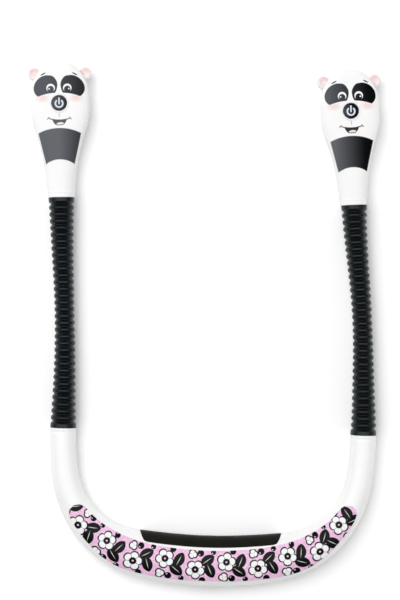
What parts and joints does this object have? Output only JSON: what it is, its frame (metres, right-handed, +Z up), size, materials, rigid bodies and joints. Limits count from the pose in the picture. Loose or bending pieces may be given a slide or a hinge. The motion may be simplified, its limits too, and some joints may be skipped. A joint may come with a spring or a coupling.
{
  "type": "neck reading light",
  "caption": "U-shaped neck band with a printed label and comfort pad, carrying bendable ribbed arms that end in animal-faced lamp heads with power buttons.",
  "frame": {"origin": "middle of the neck band's flat underside, on the plane that the light rests on when it lies face side up", "axes": "+X across the shoulders to the right arm, +Y along the arms to the lamp heads, +Z up out of the printed faces"},
  "size_m": [0.2144, 0.3119, 0.0184],
  "materials": {
    "white_shell": "glossy white moulded plastic",
    "label_print": "lilac-pink printed film with small black and white flowers and leaves, satin gloss",
    "pad_rubber": "dark matte rubber with fine lengthwise lines",
    "sleeve_rubber": "black satin ribbed rubber",
    "steel": "plain steel",
    "lens_diffuser": "milky light diffuser",
    "frosted_clear": "frosted clear light pipe",
    "green_board": "green circuit board",
    "white_board": "white light board with chips",
    "cell_wrap": "silver-grey wrapped battery cell",
    "switch_black": "black plastic switch",
    "button_black": "black button with a plain power symbol",
    "ear_pink": "soft pink plastic"
  },
  "bodies": {
    "neck_band": {"band_upper_shell": "white_shell", "band_lower_shell": "white_shell", "comfort_pad": "pad_rubber", "print_label": "label_print", "control_board": "green_board", "charge_port": "steel", "charge_indicator": "frosted_clear", "left_battery_cell": "cell_wrap", "right_battery_cell": "cell_wrap", "band_screw_1": "steel", "band_screw_2": "steel", "band_screw_3": "steel", "band_screw_4": "steel", "left_sleeve_1": "sleeve_rubber", "left_gooseneck_core_1": "steel", "right_sleeve_1": "sleeve_rubber", "right_gooseneck_core_1": "steel"},
    "left_arm_1": {"left_sleeve_2": "sleeve_rubber", "left_gooseneck_core_2": "steel"},
    "left_arm_2": {"left_sleeve_3": "sleeve_rubber", "left_gooseneck_core_3": "steel"},
    "left_arm_3": {"left_sleeve_4": "sleeve_rubber", "left_gooseneck_core_4": "steel"},
    "left_arm_4": {"left_sleeve_5": "sleeve_rubber", "left_gooseneck_core_5": "steel"},
    "left_arm_5": {"left_sleeve_6": "sleeve_rubber", "left_gooseneck_core_6": "steel"},
    "left_head": {"left_sleeve_7": "sleeve_rubber", "left_gooseneck_core_7": "steel", "left_face_shell": "white_shell", "left_back_shell": "white_shell", "left_lens": "lens_diffuser", "left_led_board": "white_board", "left_tact_switch": "switch_black", "left_head_screw": "steel", "left_head_left_ear": "ear_pink", "left_head_right_ear": "ear_pink"},
    "left_button": {"left_power_button": "button_black"},
    "right_arm_1": {"right_sleeve_2": "sleeve_rubber", "right_gooseneck_core_2": "steel"},
    "right_arm_2": {"right_sleeve_3": "sleeve_rubber", "right_gooseneck_core_3": "steel"},
    "right_arm_3": {"right_sleeve_4": "sleeve_rubber", "right_gooseneck_core_4": "steel"},
    "right_arm_4": {"right_sleeve_5": "sleeve_rubber", "right_gooseneck_core_5": "steel"},
    "right_arm_5": {"right_sleeve_6": "sleeve_rubber", "right_gooseneck_core_6": "steel"},
    "right_head": {"right_sleeve_7": "sleeve_rubber", "right_gooseneck_core_7": "steel", "right_face_shell": "white_shell", "right_back_shell": "white_shell", "right_lens": "lens_diffuser", "right_led_board": "white_board", "right_tact_switch": "switch_black", "right_head_screw": "steel", "right_head_left_ear": "ear_pink", "right_head_right_ear": "ear_pink"},
    "right_button": {"right_power_button": "button_black"}
  },
  "joints": [
    {"name": "left_bend_1", "type": "hinge", "parent": "neck_band", "child": "left_arm_1", "pos_m": [-0.09005, 0.08601, 0.0085], "axis": [1, -0.0026, 0], "range_deg": [-30, 30]},
    {"name": "left_sweep_1", "type": "hinge", "parent": "left_arm_1", "child": "left_arm_2", "pos_m": [-0.08992, 0.11037, 0.0085], "axis": [0, 0, 1], "range_deg": [-30, 30]},
    {"name": "left_bend_2", "type": "hinge", "parent": "left_arm_2", "child": "left_arm_3", "pos_m": [-0.09035, 0.13473, 0.0085], "axis": [0.9995, 0.0314, 0], "range_deg": [-30, 30]},
    {"name": "left_sweep_2", "type": "hinge", "parent": "left_arm_3", "child": "left_arm_4", "pos_m": [-0.09145, 0.15906, 0.0085], "axis": [0, 0, 1], "range_deg": [-30, 30]},
    {"name": "left_bend_3", "type": "hinge", "parent": "left_arm_4", "child": "left_arm_5", "pos_m": [-0.09302, 0.18337, 0.0085], "axis": [0.9984, 0.0567, 0], "range_deg": [-30, 30]},
    {"name": "left_sweep_3", "type": "hinge", "parent": "left_arm_5", "child": "left_head", "pos_m": [-0.09421, 0.2077, 0.0085], "axis": [0, 0, 1], "range_deg": [-30, 30]},
    {"name": "left_button_press", "type": "slide", "parent": "left_head", "child": "left_button", "axis": [0, 0, -1], "range_m": [0, 0.0006], "stiffness_N_per_m": 800},
    {"name": "right_bend_1", "type": "hinge", "parent": "neck_band", "child": "right_arm_1", "pos_m": [0.09005, 0.08601, 0.0085], "axis": [0.9998, 0.0192, 0], "range_deg": [-30, 30]},
    {"name": "right_sweep_1", "type": "hinge", "parent": "right_arm_1", "child": "right_arm_2", "pos_m": [0.08911, 0.11035, 0.0085], "axis": [0, 0, 1], "range_deg": [-30, 30]},
    {"name": "right_bend_2", "type": "hinge", "parent": "right_arm_2", "child": "right_arm_3", "pos_m": [0.08843, 0.1347, 0.0085], "axis": [0.9988, 0.0497, 0], "range_deg": [-30, 30]},
    {"name": "right_sweep_2", "type": "hinge", "parent": "right_arm_3", "child": "right_arm_4", "pos_m": [0.08669, 0.159, 0.0085], "axis": [0, 0, 1], "range_deg": [-30, 30]},
    {"name": "right_bend_3", "type": "hinge", "parent": "right_arm_4", "child": "right_arm_5", "pos_m": [0.08389, 0.1832, 0.0085], "axis": [0.9938, 0.1115, 0], "range_deg": [-30, 30]},
    {"name": "right_sweep_3", "type": "hinge", "parent": "right_arm_5", "child": "right_head", "pos_m": [0.08126, 0.20742, 0.0085], "axis": [0, 0, 1], "range_deg": [-30, 30]},
    {"name": "right_button_press", "type": "slide", "parent": "right_head", "child": "right_button", "axis": [0, 0, -1], "range_m": [0, 0.0006], "stiffness_N_per_m": 800}
  ]
}
